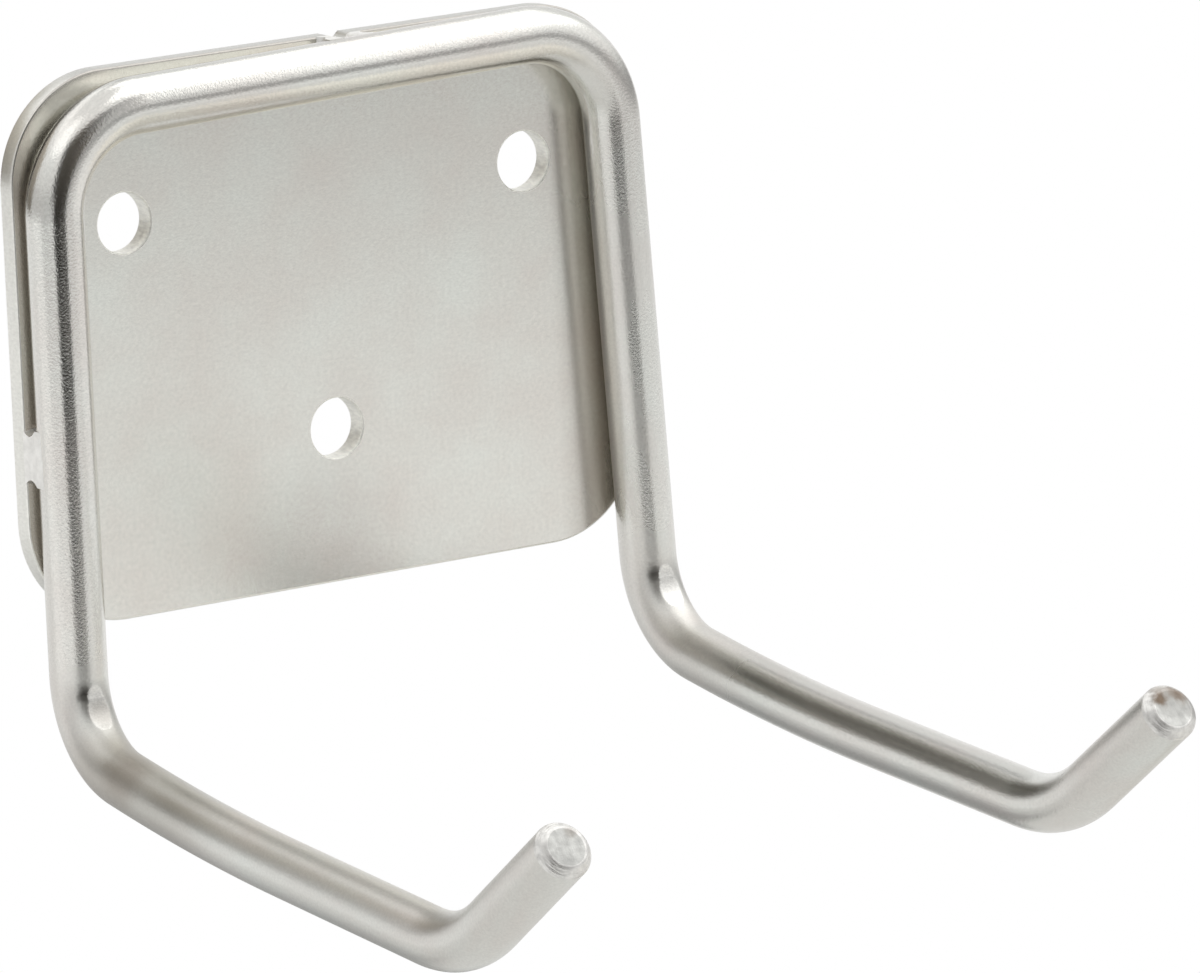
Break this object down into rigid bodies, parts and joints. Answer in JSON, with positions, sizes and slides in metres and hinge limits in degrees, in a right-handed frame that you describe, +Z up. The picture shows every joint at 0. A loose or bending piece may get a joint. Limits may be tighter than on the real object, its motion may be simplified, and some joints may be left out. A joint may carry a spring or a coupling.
{
  "type": "immersion blender wall hanger",
  "caption": "Satin steel wall hanger: a rounded screw-on plate with a bent round rod welded to its front, its sloping arms and upturned tips holding a hand blender.",
  "frame": {"origin": "middle of the plate's back face, on the wall", "axes": "+Z up, +X to the right seen from the front, +Y into the wall, the arms reach forward along -Y"},
  "size_m": [0.1045, 0.1287, 0.107],
  "materials": {
    "plate_steel": "fine satin grain",
    "rod_steel": "satin drawn bar",
    "weld_steel": "ground smooth"
  },
  "bodies": {
    "root": {"back_plate": "plate_steel", "hanger_rod": "rod_steel", "weld_top": "weld_steel", "weld_left": "weld_steel", "weld_right": "weld_steel"}
  },
  "joints": []
}
